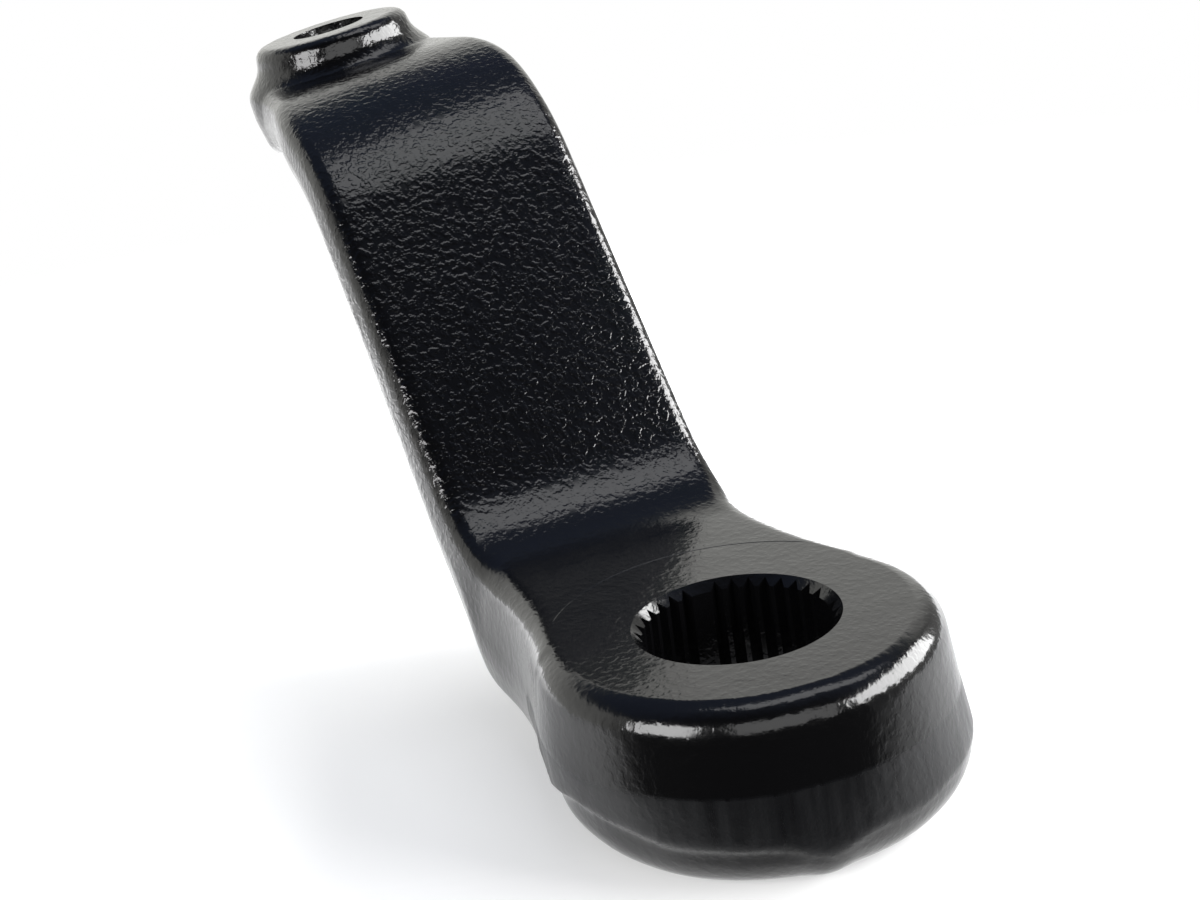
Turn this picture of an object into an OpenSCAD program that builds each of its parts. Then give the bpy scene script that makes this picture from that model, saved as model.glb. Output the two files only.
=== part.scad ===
// Dropped steering pitman arm: one steel forging with a serrated sector bore at the big end,
// an S-bent strap, and a collared end with a tapered hole for a ball stud.
// The origin lies on the sector bore's axis, in the plane of the machined nut face.

/* [Layout] */
// Distance from the sector bore's axis to the stud hole, at the shelf's top
reach = 158; // [150:1:180]
// Height of the shelf at the stud end above the nut face
rise = 73; // [62:1:82]
// Sideways lean of the stud end, in degrees
lean = 8; // [0:1:12]

/* [Sector boss] */
// Diameter of the big boss over its trimmed parting band
boss_d = 63; // [60:0.5:70]
// Height of the big boss from the nut face to the underside
boss_h = 28; // [25:0.5:34]
// Radius of the rounded upper rim
boss_top_r = 3.5; // [2:0.5:4.5]
// Radius of the rounded lower rim
boss_low_r = 8; // [2:0.5:8]
// Depth of the parting band's upper edge below the nut face
band_depth = 12; // [9:0.5:13]
// Height of the trimmed parting band on the big boss
band_h = 8; // [4:0.5:10]
// Diameter of the machined nut face
face_d = 56; // [50:0.5:58]
// Height of the forged skin above the nut face
skin_step = 0.5; // [0.4:0.1:1]

/* [Sector bore] */
// Pitches in the full circle of serrations
pitches = 36; // [36:12:48]
// Number of wide master teeth, evenly spaced
masters = 4; // [2:2:4]
// Turn of the first master tooth from the strap's middle line, in degrees
master_turn = -5; // [-45:1:45]
// Groove-to-groove diameter at the large end of the bore, at the underside
serration_d = 31.8; // [28:0.1:34]
// Depth of a groove
groove_depth = 1.1; // [0.8:0.1:1.4]
// Share of a pitch that is left as a flat tooth crest
crest_share = 0.3; // [0.2:0.05:0.5]
// Length over which the bore's diameter changes by one unit
bore_taper = 16; // [12:1:24]
// Width of the chamfer at the mouths of the bore
bore_chamfer = 0.7; // [0.4:0.1:1.2]

/* [Strap] */
// Width of the strap
strap_w = 49.5; // [44:0.5:54]
// Thickness of the strap
strap_t = 13.5; // [11:0.5:17]
// Distance from the sector bore's axis to the foot of the slope
bend_x = 50.5; // [47:0.5:56]
// Steepness of the sloped run, in degrees
slope = 50.5; // [47:0.5:58]
// Radius of the hollow bend at the foot of the slope
foot_bend_r = 21; // [12:1:26]
// Radius of the rounded bend at the head of the slope
head_bend_r = 52; // [40:1:56]
// Radius of the necks that sweep from the strap into the big boss
neck_r = 90; // [60:5:120]
// Radius of the strap's rounded edges
edge_r = 3.5; // [2:0.5:4.5]
// Height of the parting land on the strap's sides
land_h = 1.5; // [1:0.5:3]
// Height of the strap's deep root above the underside of the big boss
root_lift = 5.5; // [0.5:0.5:7]

/* [Stud end] */
// Diameter of the raised collar
collar_d = 33; // [29:0.5:36]
// Height of the collar above the shelf
collar_h = 6.8; // [5:0.1:9]
// Radius of the collar's rounded rim
collar_r = 2.5; // [1:0.5:3]
// Radius of the hollow at the collar's foot
collar_foot_r = 1.5; // [1:0.5:2.5]
// Radius of the rounded shoulder outside the collar's foot
shoulder_r = 1.5; // [1:0.5:3]
// Height of the nut pad below the strap's underside
pad_h = 1.5; // [0.5:0.5:3]
// Diameter of the tapered hole at the collar's face
stud_d = 15; // [13:0.1:17]
// Length over which the stud hole's diameter changes by one unit
stud_taper = 8; // [6:1:12]

/* [Hidden] */
// Forging draft of all side walls, in degrees
draft = 9;
// Depth that joined forms run into each other
lap = 0.3;
// Length that a cut runs past the face it opens
past = 2;
// Run over which the deep root's underside turns into the slope's
root_blend = 6;
// Length over which the strap narrows to the stud end
end_sweep = 42;
// Steps in a rounded edge
edge_steps = 5;
// Steps along each run of the strap
flat_steps = 10;
bend_steps = 12;
slope_steps = 6;
shelf_steps = 6;
// Facets round a full circle
$fn = 96;

boss_r = boss_d / 2;
collar_foot_x = collar_d / 2 + collar_foot_r;
shoulder_drop = shoulder_r * (1 - sin(draft)) - lap;
end_r = collar_foot_x + shoulder_r * cos(draft) + (strap_t / 2 - shoulder_drop) * tan(draft);

// Points of an arc about (x, y) from angle a to angle b
function arc(x, y, r, a, b) =
    [for (i = [0:edge_steps]) let (q = a + (b - a) * i / edge_steps) [x + r * cos(q), y + r * sin(q)]];

// Radius at height z of a wall that leans in by the draft from radius r at height z_base
function drafted(r, z_base, z) = r - abs(z - z_base) * tan(draft);

// Centre of a rim arc of radius rim whose side meets a drafted wall, above (up = 1) or below (up = -1)
function rim_x(r, z_base, z_rim, rim, up) =
    drafted(r, z_base, z_rim - up * rim * (1 - sin(draft))) - rim * cos(draft);

// Smaller of two lengths, rounded over a run k where they cross
function soft_min(a, b, k) = min(a, b) - pow(max(k - abs(a - b), 0), 2) / k / 4;

function ease(u) = u * u * (3 - 2 * u);
function clamp(u) = min(1, max(0, u));

// Depth of the strap's root, height of its parting land, and depth of that land's middle
root_t = boss_h + skin_step - root_lift;
root_land_h = band_h / 3;
root_part = skin_step + band_depth + root_land_h;
// Depth of the strap in the hollow bend at steepness q, to the root's underside or the slope's
function bend_depth(q) =
    soft_min((foot_bend_r + root_t) / cos(q), (foot_bend_r + strap_t) / cos(slope - q), root_blend)
    - foot_bend_r;

// Top line of the strap, each station as [x, z, steepness, depth]
flat_end = bend_x - foot_bend_r * tan(slope / 2);
shelf_start = bend_x + (rise - skin_step) / tan(slope) + head_bend_r * tan(slope / 2);
foot_arc = [for (i = [0:bend_steps]) let (q = slope * i / bend_steps)
    [flat_end + foot_bend_r * sin(q), skin_step + foot_bend_r * (1 - cos(q)), q, bend_depth(q)]];
head_arc = [for (i = [0:bend_steps]) let (q = slope * (1 - i / bend_steps))
    [shelf_start - head_bend_r * sin(q), rise - head_bend_r * (1 - cos(q)), q, strap_t]];
slope_foot = foot_arc[bend_steps];
slope_head = head_arc[0];
strap_line = concat(
    [for (i = [0:flat_steps - 1]) [flat_end * i / flat_steps, skin_step, 0, bend_depth(0)]],
    foot_arc,
    [for (i = [1:slope_steps - 1]) slope_foot + (slope_head - slope_foot) * i / slope_steps],
    head_arc,
    [for (i = [1:shelf_steps])
        [shelf_start + (reach - shelf_start) * i / shelf_steps, rise, 0, strap_t]]);

// Half width of the strap at x: swept necks at the big boss, eased to the rounded end
neck_join_r = boss_r - lap;
neck_x = sqrt(pow(neck_join_r + neck_r, 2) - pow(strap_w / 2 + neck_r, 2));
neck_start = neck_x * neck_join_r / (neck_join_r + neck_r);
function neck(x) = strap_w / 2 + neck_r - sqrt(pow(neck_r, 2) - pow(neck_x - x, 2));
function half_width(x) =
    x < neck_x ? neck(max(x, neck_start)) :
    strap_w / 2 + (end_r - lap - strap_w / 2) * ease(clamp((x - reach + end_sweep) / end_sweep));

// Sideways lean of the strap at x
function turn(x) = lean * ease(clamp((x - bend_x) / (shelf_start - bend_x)));

// Outline across the strap for a half width and a depth; the parting land sinks towards the boss's band
function section(half, depth) =
    let (u = pow(clamp((depth - strap_t) / (root_t - strap_t)), 2))
    let (part = strap_t / 2 + u * (root_part - strap_t / 2))
    let (land = (land_h + u * (root_land_h - land_h)) / 2)
    let (top_x = rim_x(half, land - part, 0, edge_r, 1))
    let (low_x = rim_x(half, -land - part, -depth, edge_r, -1))
    let (right = concat(
        arc(low_x, edge_r - depth, edge_r, -90, -draft),
        [[half, -land - part], [half, land - part]],
        arc(top_x, -edge_r, edge_r, draft, 90)))
    let (count = len(right))
    concat(right, [for (i = [count - 1:-1:0]) [-right[i][0], right[i][1]]]);

// Outline of a station, placed on the top line and leaned sideways
function ring(p) =
    let (a = turn(p[0]))
    [for (s = section(half_width(p[0]), p[3]))
        let (up = s[1] * cos(p[2]))
        [p[0] - s[1] * sin(p[2]), s[0] * cos(a) + up * sin(a), p[1] - s[0] * sin(a) + up * cos(a)]];

// Lofted strap through its outlines
module strap() {
    rings = [for (p = strap_line) ring(p)];
    size = len(rings[0]);
    last = len(rings) - 1;
    points = [for (r = rings) each r];
    sides = [for (i = [0:last - 1], j = [0:size - 1])
        let (k = (j + 1) % size)
        [i * size + j, (i + 1) * size + j, (i + 1) * size + k, i * size + k]];
    near_cap = [for (j = [0:size - 1]) j];
    far_cap = [for (j = [size - 1:-1:0]) last * size + j];
    polyhedron(points, concat(sides, [near_cap, far_cap]));
}

// Big boss: drafted both ways from the trimmed band, with rounded rims
module sector_boss() {
    band_low = -band_depth - band_h;
    top = skin_step - lap;
    top_x = rim_x(boss_r, -band_depth, top, boss_top_r, 1);
    low_r = min(boss_low_r, (boss_h + band_low) / (1 - sin(draft)));
    low_x = rim_x(boss_r, band_low, -boss_h, low_r, -1);
    rotate_extrude()
        polygon(concat(
            [[0, -boss_h]],
            arc(low_x, -boss_h + low_r, low_r, -90, -draft),
            [[boss_r, band_low], [boss_r, -band_depth]],
            arc(top_x, top - boss_top_r, boss_top_r, draft, 90),
            [[0, top]]));
}

// Places a form on the stud hole's axis, with its zero height on the shelf
module at_stud() {
    translate([reach, 0, rise])
        rotate([-lean, 0, 0])
            children();
}

// Rounded end with the raised collar above and the nut pad below
module stud_boss() {
    low = -strap_t - pad_h;
    low_x = rim_x(end_r, -strap_t / 2, low, edge_r, -1);
    wall_z = lap + collar_foot_r;
    collar_x = rim_x(collar_d / 2, wall_z, collar_h, collar_r, 1);
    rotate_extrude()
        polygon(concat(
            [[0, low]],
            arc(low_x, low + edge_r, edge_r, -90, -draft),
            [[end_r, -strap_t / 2]],
            arc(collar_foot_x, lap - shoulder_r, shoulder_r, draft, 90),
            arc(collar_foot_x, wall_z, collar_foot_r, 270, 180),
            arc(collar_x, collar_h - collar_r, collar_r, draft, 90),
            [[0, collar_h]]));
}

// Tapered bore with V grooves that leave wide master teeth
module sector_bore() {
    tilt = atan(0.5 / bore_taper);
    large_r = serration_d / 2;
    small_r = large_r - boss_h / bore_taper / 2;
    pitch = 360 / pitches;
    gap = pitches / masters;
    mouth_half = PI * serration_d / pitches * (1 - crest_share) / 2;
    grow = past / bore_taper / 2;
    half_cut = bore_chamfer / 2;
    translate([0, 0, -boss_h - past])
        cylinder(r1 = large_r - groove_depth + grow, r2 = small_r - groove_depth - grow,
                 h = boss_h + 2 * past);
    for (i = [0:pitches - 1])
        if (i % gap != 0)
            rotate([0, 0, master_turn + i * pitch])
                translate([large_r, 0, -boss_h])
                    rotate([0, -tilt, 0])
                        translate([0, 0, -past])
                            linear_extrude(height = boss_h + 2 * past)
                                polygon([[0, 0],
                                         [-groove_depth, mouth_half],
                                         [-2 * groove_depth, mouth_half],
                                         [-2 * groove_depth, -mouth_half],
                                         [-groove_depth, -mouth_half]]);
    translate([0, 0, -bore_chamfer])
        cylinder(r1 = small_r - half_cut, r2 = small_r + half_cut + past, h = bore_chamfer + past);
    translate([0, 0, -boss_h - past])
        cylinder(r1 = large_r + half_cut + past, r2 = large_r - half_cut, h = bore_chamfer + past);
}

// Tapered stud hole, widest at the collar's face
module stud_hole() {
    depth = collar_h + strap_t + pad_h;
    translate([0, 0, collar_h - depth - past])
        cylinder(d1 = stud_d - (depth + past) / stud_taper, d2 = stud_d + past / stud_taper,
                 h = depth + 2 * past);
}

module pitman_arm() {
    color([0.05, 0.05, 0.055])
        difference() {
            union() {
                strap();
                sector_boss();
                at_stud() stud_boss();
            }
            cylinder(d = face_d, h = rise);
            sector_bore();
            at_stud() stud_hole();
        }
}

pitman_arm();
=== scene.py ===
# %% [markdown]
# # A forged pitman arm
# A pitman arm joins a steering box to the drag link. This one is a single steel forging, painted
# gloss black: a thick boss with a serrated bore, an S-bent strap, and a collared end with a
# tapered hole. The lesson builds it in the order a forge works: first the blunt hot shape, then
# the machined faces and bores, then the paint. The last cells set up a small photo studio.

# %% Load the fixed frame
import math

import bmesh
import bpy
from mathutils import Matrix, Vector


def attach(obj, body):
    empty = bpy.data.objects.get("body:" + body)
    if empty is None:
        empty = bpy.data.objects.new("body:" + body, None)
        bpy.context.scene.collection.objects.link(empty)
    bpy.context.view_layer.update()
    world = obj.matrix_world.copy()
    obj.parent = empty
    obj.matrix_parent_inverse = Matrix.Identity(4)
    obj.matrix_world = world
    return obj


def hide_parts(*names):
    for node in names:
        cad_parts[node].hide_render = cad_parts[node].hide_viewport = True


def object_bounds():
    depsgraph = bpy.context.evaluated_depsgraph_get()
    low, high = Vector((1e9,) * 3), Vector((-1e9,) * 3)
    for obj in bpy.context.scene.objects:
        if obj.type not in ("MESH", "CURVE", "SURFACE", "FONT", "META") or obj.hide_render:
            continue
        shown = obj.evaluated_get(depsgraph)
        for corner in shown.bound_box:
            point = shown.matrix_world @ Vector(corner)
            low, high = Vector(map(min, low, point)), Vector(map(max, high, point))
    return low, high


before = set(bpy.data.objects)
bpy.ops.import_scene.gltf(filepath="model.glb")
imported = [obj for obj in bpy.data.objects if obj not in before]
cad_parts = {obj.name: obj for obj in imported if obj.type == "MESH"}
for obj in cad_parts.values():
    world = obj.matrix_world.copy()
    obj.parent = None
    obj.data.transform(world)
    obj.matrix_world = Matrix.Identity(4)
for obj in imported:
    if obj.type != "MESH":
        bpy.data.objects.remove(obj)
cad_lo, cad_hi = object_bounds()
print("CAD box, mm:", [round(1000 * v, 1) for v in (*cad_lo, *cad_hi)])

# %% [markdown]
# ## Sizes
# Blender works in metres, and drawings of car parts in millimetres. Keeping every size in
# millimetres and multiplying by `MM` once, when a point is placed, keeps the numbers readable.
# The origin is on the bore's axis, in the plane of the nut face; +X runs along the strap. The
# sizes that several pieces share come first, and each piece adds its own later.

# %% Shared sizes in millimetres
MM = 0.001
REACH, RISE, LEAN = 158.0, 73.0, math.radians(8)
DRAFT, WALL_DRAFT = math.radians(9), math.radians(7)
BOSS_R, BOSS_H, BOSS_TOP_R = 31.5, 28.0, 4.8
BAND_TOP, BAND_LOW = -12.0, -20.0
STRAP_HALF, STRAP_T, EDGE_R = 24.75, 13.5, 3.5
COLLAR_R, COLLAR_FOOT, SHOULDER = 16.5, 1.5, 1.5
SKIN, LAP = 0.06, 0.3  # forged skin above the nut face, and overlap of the three shapes
END_R = (COLLAR_R + COLLAR_FOOT + SHOULDER * math.cos(DRAFT)
         + (STRAP_T / 2 + LAP - SHOULDER * (1 - math.sin(DRAFT))) * math.tan(DRAFT))
print(f"reach {REACH:.0f}, rise {RISE:.0f}, radius of the stud end {END_R:.1f} mm")


# %% [markdown]
# ## Small geometry helpers
# A forging die needs *draft*: walls that lean a few degrees so that the hot part drops out.
# `rim` gives a rounded corner that meets such a leaning wall smoothly. `ease` is the classic
# S-curve that starts and ends level. `skin_rings` joins rings of points to a *loft*, for shapes
# that change from ring to ring, which no single spin or extrusion gives.

# %% Helpers
def arc(x, y, r, start, end, steps=10):
    turns = [start + (end - start) * i / steps for i in range(steps + 1)]
    return [(x + r * math.cos(q), y + r * math.sin(q)) for q in turns]


def rim(r, base, top, corner, up, lean=DRAFT):
    """Rounded corner of a wall that leans in from radius r at height base."""
    side = top - up * corner * (1 - math.sin(lean))
    x = r - abs(side - base) * math.tan(lean) - corner * math.cos(lean)
    ends = (lean, math.pi / 2) if up > 0 else (-math.pi / 2, -lean)
    return arc(x, top - up * corner, corner, *ends)


def ease(u):
    u = min(1.0, max(0.0, u))
    return u * u * (3 - 2 * u)


def finish_mesh(name, bm):
    """Welds doubled points, turns all faces outwards and makes an object."""
    bmesh.ops.remove_doubles(bm, verts=bm.verts, dist=1e-6)
    bmesh.ops.dissolve_degenerate(bm, edges=bm.edges, dist=1e-7)
    bmesh.ops.recalc_face_normals(bm, faces=bm.faces)
    mesh = bpy.data.meshes.new(name)
    bm.to_mesh(mesh)
    bm.free()
    obj = bpy.data.objects.new(name, mesh)
    bpy.context.scene.collection.objects.link(obj)
    return obj


def skin_rings(name, rings, closed=False):
    """Faces between rings of equal length, capped at both ends unless the rings close."""
    bm = bmesh.new()
    loops = [[bm.verts.new(Vector(p) * MM) for p in ring] for ring in rings]
    for a, b in zip(loops, loops[1:] + loops[:1] if closed else loops[1:]):
        for j in range(len(a)):
            bm.faces.new((a[j - 1], b[j - 1], b[j], a[j]))
    if not closed:
        bm.faces.new(loops[0])
        bm.faces.new(loops[-1])
    return finish_mesh(name, bm)


print(f"a wall 10 mm high leans in by {10 * math.tan(DRAFT):.1f} mm")

# %% [markdown]
# ## The line of the strap
# The strap leaves the boss level, turns up in the foot bend, climbs the slope and levels off in
# the head bend. A curve object could carry such a line. Stations are used instead, because each
# also holds its steepness and its depth: the strap is deep where it grows out of the boss and
# thin on the slope, and `soft_min` blends the two depths.

# %% Strap line
BEND_X, SLOPE, FOOT_R, HEAD_R = 50.5, math.radians(50.5), 27.0, 52.0
ROOT_LIFT, ROOT_BLEND = 5.5, 6.0
ROOT_T = BOSS_H + SKIN - ROOT_LIFT
FLAT_END = BEND_X - FOOT_R * math.tan(SLOPE / 2)
SHELF_START = BEND_X + (RISE - SKIN) / math.tan(SLOPE) + HEAD_R * math.tan(SLOPE / 2)


def soft_min(a, b, k):
    return min(a, b) - max(k - abs(a - b), 0) ** 2 / k / 4


def bend_depth(q):
    level = (FOOT_R + ROOT_T) / math.cos(q)
    sloped = (FOOT_R + STRAP_T) / math.cos(SLOPE - q)
    return soft_min(level, sloped, ROOT_BLEND) - FOOT_R


def stations(n=32):
    flat = [(FLAT_END * i / n, SKIN, 0.0, bend_depth(0)) for i in range(n)]
    bend = [SLOPE * i / n for i in range(n + 1)]
    foot = [(FLAT_END + FOOT_R * math.sin(q), SKIN + FOOT_R * (1 - math.cos(q)), q, bend_depth(q))
            for q in bend]
    head = [(SHELF_START - HEAD_R * math.sin(q), RISE - HEAD_R * (1 - math.cos(q)), q, STRAP_T)
            for q in reversed(bend)]
    slope = [tuple(a + (b - a) * i / n for a, b in zip(foot[-1], head[0])) for i in range(1, n)]
    shelf = [(SHELF_START + (REACH - SHELF_START) * i / n, RISE, 0.0, STRAP_T)
             for i in range(1, n + 1)]
    return flat + foot + slope + head + shelf


print(f"flat to x {FLAT_END:.1f}, shelf from x {SHELF_START:.1f}, {len(stations())} stations")

# %% [markdown]
# ## The strap
# One rounded cross section is repeated at every station. Its sides lean away from a narrow land,
# where the dies met, and past the foot bend its upper face is crowned by less than a millimetre.
# The width narrows from the boss to a waist and eases into the stud end, and the section leans
# sideways on its way up.

# %% Strap loft
NECK_R, LAND, CROWN, TOP_STEPS, END_SWEEP = 90.0, 1.5, 0.7, 5, 42.0
ROOT_LAND = (BAND_TOP - BAND_LOW) / 3
NECK_JOIN = BOSS_R - LAP
NECK_X = math.sqrt((NECK_JOIN + NECK_R) ** 2 - (STRAP_HALF + NECK_R) ** 2)


def half_width(x):
    if x < NECK_X:
        x = max(x, NECK_X * NECK_JOIN / (NECK_JOIN + NECK_R))
        return STRAP_HALF + NECK_R - math.sqrt(NECK_R ** 2 - (NECK_X - x) ** 2)
    return STRAP_HALF + (END_R - LAP - STRAP_HALF) * ease((x - REACH + END_SWEEP) / END_SWEEP)


def section(half, depth, crown):
    u = min(1.0, max(0.0, (depth - STRAP_T) / (ROOT_T - STRAP_T))) ** 2
    part = STRAP_T / 2 + u * (SKIN - BAND_TOP + ROOT_LAND - STRAP_T / 2)
    land = (LAND + u * (ROOT_LAND - LAND)) / 2
    edge, lean = EDGE_R + u * (BOSS_TOP_R - EDGE_R), DRAFT + u * (WALL_DRAFT - DRAFT)
    right = (rim(half, -land - part, -depth, EDGE_R, -1)
             + [(half, -land - part), (half, land - part)]
             + rim(half, land - part, 0, edge, 1, lean))
    right += [(right[-1][0] * i / TOP_STEPS, 0) for i in range(TOP_STEPS - 1, 0, -1)]
    right = [(y, v - crown * (y / half) ** 2 * (v > -part)) for y, v in right]
    return right + [(-y, v) for y, v in reversed(right)]


def strap_ring(x, z, q, depth):
    a = LEAN * ease((x - BEND_X) / (SHELF_START - BEND_X))
    ring = []
    for y, v in section(half_width(x), depth, CROWN * ease((x - FLAT_END) / FOOT_R)):
        up = v * math.cos(q)
        ring.append((x - v * math.sin(q), y * math.cos(a) + up * math.sin(a),
                     z - y * math.sin(a) + up * math.cos(a)))
    return ring


strap = skin_rings("strap", [strap_ring(*s) for s in stations()])
print("strap:", len(strap.data.vertices), "points")

# %% [markdown]
# ## The boss
# The boss carries a mark of how it was made. Where the two dies met, a thin flash of steel
# squeezed out and was sheared off, which leaves a flat band with an uneven lower line. The dies
# and the trimming tool never meet exactly, so the band and the lower half sit a little to one
# side. The profile thus changes with the angle, and the boss is a loft of turned profiles.

# %% Boss
AROUND = 240
BAND_R, BOSS_LOW_R = 31.8, 8.0
TRIM_SHIFT, DIE_SHIFT, SHIFT_AT = 0.8, 1.3, math.radians(246)
BAND_IN, DIE_IN, LEDGE = 0.4, 1.0, 0.3  # both set in from the band's radius, and the ledge below
STEP_IN, STEP_UP, UNDER_SKIN = 0.15, 0.2, 0.02
TRIM_UP = 0.4
WAVES = ((0.4, 3, 1), (0.3, 7, 0), (0.15, 16, 0))  # height in mm, waves round the boss, phase
HUMPS = ((-2.4, 170, 9), (2.6, 98, 20))  # height in mm, place and width in degrees


def hump(q, at, wide):
    away = (math.degrees(q) - at + 180) % 360 - 180
    return math.exp(-(away / wide) ** 2)


def trim_line(q):
    waves = sum(high * math.sin(count * q + phase) for high, count, phase in WAVES)
    return BAND_LOW + TRIM_UP + waves + sum(high * hump(q, at, wide) for high, at, wide in HUMPS)


def boss_profile(q):
    low = trim_line(q)
    top = SKIN - UNDER_SKIN
    corner = min(BOSS_LOW_R, (BOSS_H + low - LEDGE) / (1 - math.sin(DRAFT)))
    wall_r = BAND_R - (BAND_TOP - low) * math.tan(WALL_DRAFT)
    off = math.cos(q - SHIFT_AT)
    band_r, low_r = BAND_R - BAND_IN + TRIM_SHIFT * off, BAND_R - DIE_IN + DIE_SHIFT * off
    return ([(0, -BOSS_H)] + rim(low_r, low - LEDGE, -BOSS_H, corner, -1)
            + [(low_r, low - LEDGE), (band_r, low), (wall_r, BAND_TOP)]
            + rim(wall_r - STEP_IN, BAND_TOP + STEP_UP, top, BOSS_TOP_R, 1, WALL_DRAFT)
            + [(0, top), (0, 0)])


turns = [2 * math.pi * i / AROUND for i in range(AROUND)]
boss = skin_rings("boss", [[(r * math.cos(q), r * math.sin(q), z) for r, z in boss_profile(q)]
                           for q in turns], closed=True)
print("boss:", len(boss.data.vertices), "points")

# %% [markdown]
# ## The stud end
# The stud end is a *lathe* shape: one profile, spun about an axis. The collar's wall runs out in
# a soft flare, because hot steel fills a sharp inner corner badly. Blender's spin operator does
# the turning. Its last ring is merged with its first, and the points on the axis are welded.

# %% Stud end
COLLAR_H, COLLAR_RIM, PAD_H = 6.8, 2.5, 1.5
FLARE_LOW, FLARE_TOP, FLARE_STEPS = -3.0, 3.6, 12
AT_STUD = Matrix.Translation((REACH, 0, RISE)) @ Matrix.Rotation(-LEAN, 4, "X")


def lathe(name, profile, place=Matrix.Identity(4)):
    """Spins a profile of (radius, height) about Z, then moves it to its place."""
    bm = bmesh.new()
    verts = [bm.verts.new((r, 0, z)) for r, z in profile]
    edges = [bm.edges.new(pair) for pair in zip(verts, verts[1:])]
    bmesh.ops.spin(bm, geom=verts + edges, cent=(0, 0, 0), axis=(0, 0, 1),
                   angle=2 * math.pi, steps=AROUND, use_merge=True)
    bmesh.ops.transform(bm, matrix=Matrix.Scale(MM, 4) @ place, verts=bm.verts)
    return finish_mesh(name, bm)


pad = -STRAP_T - PAD_H
flare = [(END_R + (COLLAR_R - END_R) * ease(i / FLARE_STEPS),
          FLARE_LOW + (FLARE_TOP - FLARE_LOW) * i / FLARE_STEPS) for i in range(FLARE_STEPS + 1)]
stud_end = lathe("stud_end", [(0, pad)] + rim(END_R, -STRAP_T / 2, pad, EDGE_R, -1)
                 + [(END_R, -STRAP_T / 2)] + flare
                 + rim(COLLAR_R, FLARE_TOP, COLLAR_H, COLLAR_RIM, 1) + [(0, COLLAR_H)], AT_STUD)
print("stud end:", len(stud_end.data.vertices), "points")

# %% [markdown]
# ## One forging
# The three shapes overlap. A voxel *Remesh* modifier wraps them in one even skin of small
# quads, as if they had been pressed from one billet, and a *Smooth* modifier then softens
# the joints the way hot steel and worn dies do. Both are applied, so that the cuts that
# follow work on the finished skin.

# %% Join and remesh
VOXEL, SMOOTH_SHARE, SMOOTH_TIMES = 0.7, 0.5, 4


def apply_modifier(obj, kind, **settings):
    mod = obj.modifiers.new(kind, kind)
    for key, value in settings.items():
        setattr(mod, key, value)
    with bpy.context.temp_override(object=obj, active_object=obj, selected_objects=[obj]):
        bpy.ops.object.modifier_apply(modifier=mod.name)


pieces = [strap, boss, stud_end]
with bpy.context.temp_override(active_object=strap, selected_editable_objects=pieces):
    bpy.ops.object.join()
arm = strap
arm.name = arm.data.name = "pitman_arm_forging"
apply_modifier(arm, "REMESH", mode="VOXEL", voxel_size=VOXEL * MM)
apply_modifier(arm, "SMOOTH", factor=SMOOTH_SHARE, iterations=SMOOTH_TIMES)
print("forging:", len(arm.data.polygons), "faces")

# %% [markdown]
# ## Machining
# Machined surfaces are cut with *Boolean* differences, so their edges stay crisp next to the
# soft forged skin. The first cutter faces the nut ring and chamfers the bore's mouth, the second
# chamfers the underside. The third is the serrated bore: V grooves between teeth, four of
# them left out so that the arm fits its shaft in four positions only. Everything tapers, so
# that the nut can pull the joint tight. The last cutter is the tapered hole for the ball stud.

# %% Cutters
PITCHES, MASTERS, MASTER_TURN = 36, 4, math.radians(-5)
SERRATION_R, GROOVE, CREST_SHARE, BORE_TAPER, CHAMFER = 15.9, 1.1, 0.3, 16.0, 0.7
FACE_R, FACE_CORNER, ABOVE, MOUTH, PAST = 28.0, 0.3, 30, 3, 2.0
STUD_R, STUD_TAPER = 7.5, 8.0


def groove_r(z):
    """Radius at the bottom of the grooves at height z."""
    return SERRATION_R - (z + BOSS_H) / BORE_TAPER / 2


def bore_ring(z):
    groove, crest = groove_r(z), groove_r(z) - GROOVE
    pitch = 2 * math.pi / PITCHES
    mouth = pitch * (1 - CREST_SHARE) / 2
    ring = []
    for i in range(PITCHES):
        q = MASTER_TURN + i * pitch
        depth = crest if i % (PITCHES // MASTERS) == 0 else groove
        for turned, r in ((q - mouth, crest), (q, depth), (q + mouth, crest)):
            ring.append((r * math.cos(turned), r * math.sin(turned), z))
    return ring


small, large = groove_r(0) + CHAMFER / 2, groove_r(-BOSS_H) + CHAMFER / 2
face = [(0, ABOVE), (FACE_R, ABOVE),
        *arc(FACE_R - FACE_CORNER, FACE_CORNER, FACE_CORNER, 0, -math.pi / 2, 4),
        (small, 0), (small - MOUTH, -MOUTH), (0, -MOUTH)]
under = [(0, MOUTH - BOSS_H), (large - MOUTH, MOUTH - BOSS_H),
         (large + PAST, -BOSS_H - PAST), (0, -BOSS_H - PAST)]
hole = [(0, pad - PAST), (STUD_R - (COLLAR_H - pad + PAST) / STUD_TAPER / 2, pad - PAST),
        (STUD_R + PAST / STUD_TAPER / 2, COLLAR_H + PAST), (0, COLLAR_H + PAST)]
cutters = [lathe("face_cutter", face), lathe("under_cutter", under),
           skin_rings("bore_cutter", [bore_ring(-BOSS_H - PAST), bore_ring(PAST)]),
           lathe("hole_cutter", hole, AT_STUD)]
for cutter in cutters:
    apply_modifier(arm, "BOOLEAN", operation="DIFFERENCE", solver="EXACT", object=cutter)
    bpy.data.objects.remove(cutter)
print("machined:", len(arm.data.polygons), "faces")

# %% [markdown]
# ## Soft and sharp edges
# Smooth shading hides the small faces of the forged skin. Edges that turn by more than about
# thirty degrees are machined ones, so they are marked sharp. The *Weighted Normal* modifier then
# lets the large faces lead, which keeps the nut ring flat to the eye.

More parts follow.
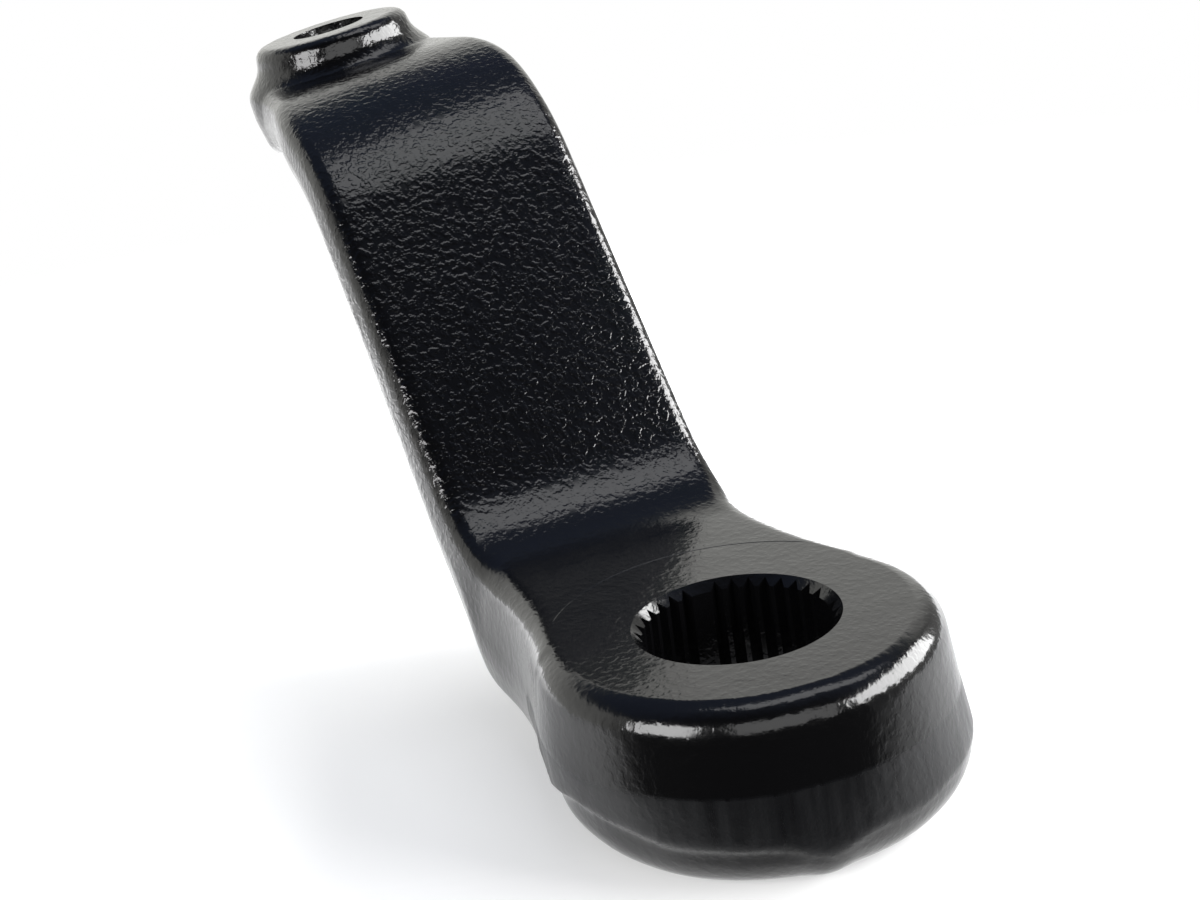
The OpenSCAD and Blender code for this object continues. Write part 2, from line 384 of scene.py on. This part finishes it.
# %% Shading
SHARP = math.radians(32)
arm.data.shade_smooth()
arm.data.set_sharp_from_angle(angle=SHARP)
apply_modifier(arm, "WEIGHTED_NORMAL", mode="FACE_AREA", weight=50, keep_sharp=True)
print("edges sharper than", round(math.degrees(SHARP)), "degrees stay sharp")

# %% [markdown]
# ## Marking the sheared band
# Paint looks duller on sheared steel than on forged skin. A *point attribute* is a number stored
# on every point of a mesh; a material can read it later by name. Here it is 1 on the band and 0
# elsewhere, so the duller paint follows the uneven trimmed line exactly.

# %% Band attribute
WALL_FROM, STRAP_SPAN, BELOW = 29, math.radians(50), 0.2
band = arm.data.attributes.new("band", "FLOAT", "POINT")
for point, mark in zip(arm.data.vertices, band.data):
    x, y, z = point.co / MM
    q = math.atan2(y, x)
    on_wall = math.hypot(x, y) > WALL_FROM and abs(q) > STRAP_SPAN
    mark.value = float(on_wall and trim_line(q) - BELOW < z < BAND_TOP)
print("points on the band:", sum(m.value > 0 for m in band.data))

# %% [markdown]
# ## Materials
# A material is a small graph of nodes. `node` adds one node, sets its values and links its
# inputs, so that a graph reads like a list. Colours are given as the familiar hex codes,
# which are sRGB; the shader wants linear light, so `paint` converts them.

# %% Material helpers
def paint(code):
    parts = [int(code[i:i + 2], 16) / 255 for i in (1, 3, 5)]
    return [v / 12.92 if v <= 0.04045 else ((v + 0.055) / 1.055) ** 2.4 for v in parts] + [1.0]


def node(tree, kind, inputs=(), **settings):
    made = tree.nodes.new(kind)
    for key, value in settings.items():
        setattr(made, key, value)
    for key, value in dict(inputs).items():
        if isinstance(value, bpy.types.NodeSocket):
            tree.links.new(value, made.inputs[key])
        else:
            made.inputs[key].default_value = value
    return made


def new_material(name):
    mat = bpy.data.materials.new(name)
    mat.use_nodes = True
    return mat, mat.node_tree, mat.node_tree.nodes["Principled BSDF"]


print("grey #808080 is", round(paint("#808080")[0], 3), "in linear light")

# %% [markdown]
# ## Forged skin under the paint
# Enamel copies the skin below it. On the slope the forged scale shows as pebbles a little over a
# millimetre across, while the ends are smoother. A *Noise* texture makes the pebbles, and a *Map
# Range* node flattens their tops and feet to facets, which glint one by one. A second, slower
# noise makes the skin uneven. Both feed *Bump* nodes, whose distance is the real height.

# %% Skin
PEBBLE, PEBBLE_HIGH = 1.25, 0.06
SWELL, SWELL_HIGH = 25 / 3, 0.4  # three swells in 25 mm
enamel, tree, shader = new_material("gloss black enamel on forged steel")
place = node(tree, "ShaderNodeTexCoord").outputs["Object"]
along = node(tree, "ShaderNodeSeparateXYZ", {0: place}).outputs["X"]
slope_in = node(tree, "ShaderNodeMapRange",
                {"Value": along, "From Min": 40 * MM, "From Max": 62 * MM},
                interpolation_type="SMOOTHSTEP")
slope_out = node(tree, "ShaderNodeMapRange",
                 {"Value": along, "From Min": 92 * MM, "From Max": 128 * MM,
                  "To Min": 1.0, "To Max": 0.5}, interpolation_type="SMOOTHSTEP")
rough_zone = node(tree, "ShaderNodeMath", {0: slope_in.outputs[0], 1: slope_out.outputs[0]},
                  operation="MULTIPLY")
pebbles = node(tree, "ShaderNodeTexNoise", {"Vector": place, "Scale": 1 / (PEBBLE * MM),
                                            "Detail": 2.0, "Roughness": 0.5})
facets = node(tree, "ShaderNodeMapRange",
              {"Value": pebbles.outputs["Fac"], "From Min": 0.40, "From Max": 0.66},
              interpolation_type="SMOOTHSTEP")
swells = node(tree, "ShaderNodeTexNoise",
              {"Vector": place, "Scale": 1 / (SWELL * MM), "Detail": 2.0})
strength = node(tree, "ShaderNodeMapRange",
                {"Value": rough_zone.outputs[0], "To Min": 0.30, "To Max": 1.0})
uneven = node(tree, "ShaderNodeBump", {"Height": swells.outputs["Fac"],
                                       "Distance": SWELL_HIGH * MM, "Strength": 0.3})
bump = node(tree, "ShaderNodeBump",
            {"Height": facets.outputs[0], "Distance": PEBBLE_HIGH * MM,
             "Strength": strength.outputs[0], "Normal": uneven.outputs[0]})
tree.links.new(bump.outputs[0], shader.inputs["Normal"])
print("skin:", len(tree.nodes), "nodes")

# %% [markdown]
# ## Gloss black enamel
# Sprayed and baked enamel is a smooth, almost black film. The eye sees little of its own colour
# and mostly what it mirrors. On the sheared band the steel below is torn in upright streaks, and
# there the film turns duller and a touch greyer, so streaks drive both roughness and colour.

# %% Enamel
STREAK_WIDE, STREAK_TALL = 2.0, 100 / 3  # in mm; three streaks in 100 mm of height
GLOSSY, TORN, ENAMEL_IOR = 0.15, 0.5, 1.54
on_band = node(tree, "ShaderNodeAttribute", attribute_name="band").outputs["Fac"]
per_metre = (1 / (STREAK_WIDE * MM), 1 / (STREAK_WIDE * MM), 1 / (STREAK_TALL * MM))
stretch = node(tree, "ShaderNodeMapping", {"Vector": place, "Scale": per_metre})
streaks = node(tree, "ShaderNodeTexNoise",
               {"Vector": stretch.outputs[0], "Scale": 1.0, "Detail": 3.0})
dull = node(tree, "ShaderNodeMath", {0: on_band, 1: streaks.outputs["Fac"]}, operation="MULTIPLY")
finish = node(tree, "ShaderNodeMapRange",
              {"Value": dull.outputs[0], "To Min": GLOSSY, "To Max": TORN})
colour = node(tree, "ShaderNodeMix",
              {0: dull.outputs[0], 6: paint("#060607"), 7: paint("#0c0d10")}, data_type="RGBA")
tree.links.new(finish.outputs[0], shader.inputs["Roughness"])
tree.links.new(colour.outputs[2], shader.inputs["Base Color"])
shader.inputs["IOR"].default_value = ENAMEL_IOR
arm.data.materials.clear()
arm.data.materials.append(enamel)
print("material:", enamel.name, len(tree.nodes), "nodes")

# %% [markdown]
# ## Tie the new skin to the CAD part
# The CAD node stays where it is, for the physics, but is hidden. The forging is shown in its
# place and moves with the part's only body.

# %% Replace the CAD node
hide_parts("pitman_arm")
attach(arm, "root")
print("the forging stands for the CAD node")

# %% [markdown]
# ## Table
# The photo shows a white table without an edge. A white disc holds the soft shadow and fades to
# clear, at its rim and just in front of the part, so that no line shows. Its emission is painted
# light, as from a lamp on the backdrop: the disc glows more towards the back, where the table is
# brightest. Sizes of the studio are in metres.

# %% Floor
TO_CAMERA = (-0.932, 0.362, 0.0)
FLOOR_R, FLOOR_BELOW = 1.2, 0.0003
floor_z = cad_lo.z - FLOOR_BELOW
bpy.ops.mesh.primitive_circle_add(vertices=96, radius=FLOOR_R, fill_type="NGON",
                                  location=(0.07, 0, floor_z))
floor = bpy.context.object
floor.name = "floor"
white, table, table_shader = new_material("white table")
table_shader.inputs["Base Color"].default_value = paint("#f4f4f4")
table_shader.inputs["Roughness"].default_value = 0.9
table_shader.inputs["Specular IOR Level"].default_value = 0.1
table_shader.inputs["Emission Color"].default_value = paint("#ffffff")
spot = node(table, "ShaderNodeTexCoord").outputs["Object"]
far = node(table, "ShaderNodeVectorMath", {0: spot}, operation="LENGTH").outputs["Value"]
fade = node(table, "ShaderNodeMapRange", {"Value": far, "From Min": 0.22, "From Max": 0.5},
            interpolation_type="SMOOTHSTEP")
nearer = node(table, "ShaderNodeVectorMath", {0: spot, 1: TO_CAMERA},
              operation="DOT_PRODUCT").outputs["Value"]
front = node(table, "ShaderNodeMapRange",
             {"Value": nearer, "From Min": 0.068, "From Max": 0.125},
             interpolation_type="SMOOTHSTEP")
# painted light: the table's own white emission, strong at the back and faint in front, stands in
# for a lamp on the backdrop
painted_table_light = node(table, "ShaderNodeMapRange", {"Value": nearer, "From Min": -0.16, "From Max": 0.0,
                                          "To Min": 1.8, "To Max": 0.16})
table.links.new(painted_table_light.outputs[0], table_shader.inputs["Emission Strength"])
gone = node(table, "ShaderNodeMath", {0: fade.outputs[0], 1: front.outputs[0]},
            operation="MAXIMUM")
clear = node(table, "ShaderNodeBsdfTransparent")
edge = node(table, "ShaderNodeMixShader",
            {0: gone.outputs[0], 1: table_shader.outputs[0], 2: clear.outputs[0]})
table.links.new(edge.outputs[0], table.nodes["Material Output"].inputs["Surface"])
floor.data.materials.append(white)
print("floor at", round(floor_z * 1000, 1), "mm")

# %% [markdown]
# ## Room
# Gloss black mirrors the whole room, so the room decides how black it looks. A *Color Ramp* over
# the height gives pale walls and a dim ceiling. The side behind the camera and the far right are
# darker still. The *Light Path* node lets the camera itself see plain white.

# %% Room
WALLS = ((0.51, "#e6e6e2"), (0.77, "#dadad6"), (0.82, "#50565f"), (0.88, "#465066"),
         (0.94, "#465066"))
world = bpy.data.worlds.new("white room")
bpy.context.scene.world = world
world.use_nodes = True
sky = world.node_tree
towards = node(sky, "ShaderNodeTexCoord").outputs["Generated"]
height = node(sky, "ShaderNodeSeparateXYZ", {0: towards}).outputs["Z"]
share = node(sky, "ShaderNodeMapRange", {"Value": height, "From Min": -1.0, "From Max": 1.0})
ramp = node(sky, "ShaderNodeValToRGB", {0: share.outputs[0]})
lowest, highest = ramp.color_ramp.elements
lowest.position, lowest.color = 0.49, paint("#f4f4f4")
highest.position, highest.color = 1.0, paint("#4c566a")
for at, code in WALLS:
    ramp.color_ramp.elements.new(at).color = paint(code)
facing = node(sky, "ShaderNodeVectorMath", {0: towards, 1: TO_CAMERA}, operation="DOT_PRODUCT")
dark_side = node(sky, "ShaderNodeMapRange",
                 {"Value": facing.outputs["Value"], "From Min": -0.1, "From Max": 0.55,
                  "To Min": 1.45, "To Max": 0.04}, interpolation_type="SMOOTHSTEP")
rightwards = node(sky, "ShaderNodeVectorMath", {0: towards, 1: (0.0, -1.0, 0.0)},
                  operation="DOT_PRODUCT")
dim_right = node(sky, "ShaderNodeMapRange",
                 {"Value": rightwards.outputs["Value"], "From Min": 0.6, "From Max": 0.85,
                  "To Min": 1.0, "To Max": 0.35}, interpolation_type="SMOOTHSTEP")
level = node(sky, "ShaderNodeMath", {0: dark_side.outputs[0], 1: dim_right.outputs[0]},
             operation="MULTIPLY")
path = node(sky, "ShaderNodeLightPath")
room = node(sky, "ShaderNodeBackground",
            {"Color": ramp.outputs[0], "Strength": level.outputs[0]})
backdrop = node(sky, "ShaderNodeBackground", {"Color": paint("#ffffff"), "Strength": 1.0})
mix = node(sky, "ShaderNodeMixShader", {0: path.outputs["Is Camera Ray"], 1: room.outputs[0],
                                        2: backdrop.outputs[0]})
sky.links.new(mix.outputs[0], sky.nodes["World Output"].inputs["Surface"])
print("room:", len(sky.nodes), "nodes")


# %% [markdown]
# ## Lamps
# Gloss black shows its lamps as reflections, so each lamp is placed for the highlight it makes: a
# ceiling panel for the bends, a softbox on the left and a long one on the right for the boss's
# round edge, and a dim strip behind the camera for the front wall.

# %% Lamps
def area_lamp(name, place, aim, size, watts):
    data = bpy.data.lights.new(name, "AREA")
    data.shape = "RECTANGLE"
    data.size, data.size_y = size
    data.energy = watts
    lamp = bpy.data.objects.new(name, data)
    lamp.location = place
    lamp.rotation_euler = (Vector(aim) - Vector(place)).to_track_quat("-Z", "Y").to_euler()
    bpy.context.scene.collection.objects.link(lamp)
    return lamp


middle = (0.0, 0.0, 0.0)
lamps = [area_lamp("ceiling panel", (0.08, -0.45, 1.2), (0.08, -0.45, 0), (0.46, 1.0), 2.6),
         area_lamp("left softbox", (-0.34, 0.94, 0.40), middle, (0.6, 0.55), 9.5),
         area_lamp("right softbox", (-0.37, -0.87, 0.42), middle, (1.4, 0.5), 28),
         area_lamp("middle strip", (-0.98, 0.16, 0.46), middle, (1.0, 0.7), 3.4)]
print(len(lamps), "lamps")

# %% [markdown]
# ## Camera
# The camera stands where the photographer did: close to the boss and above it, a little rolled.
# Its axes were found by fitting the part's outlines to the photo. The matrix columns are the
# camera's right, up and backward directions.

# %% Camera
camera_data = bpy.data.cameras.new("camera")
camera_data.lens, camera_data.sensor_width = 54.0, 36.0
camera = bpy.data.objects.new("camera", camera_data)
bpy.context.scene.collection.objects.link(camera)
right = (-0.40252, -0.90380, -0.14533)
up = (0.23517, -0.25552, 0.93776)
ahead = (0.88469, -0.34329, -0.31540)
axes = Matrix((right, up, [-v for v in ahead])).transposed()
camera.matrix_world = Matrix.Translation(Vector((-215.91, 100.62, 107.20)) * MM) @ axes.to_4x4()
camera_data.clip_start, camera_data.clip_end = 0.01, 20
scene = bpy.context.scene
scene.camera = camera
scene.view_settings.view_transform = "Standard"
print("camera at", [round(1000 * v) for v in camera.location], "mm")
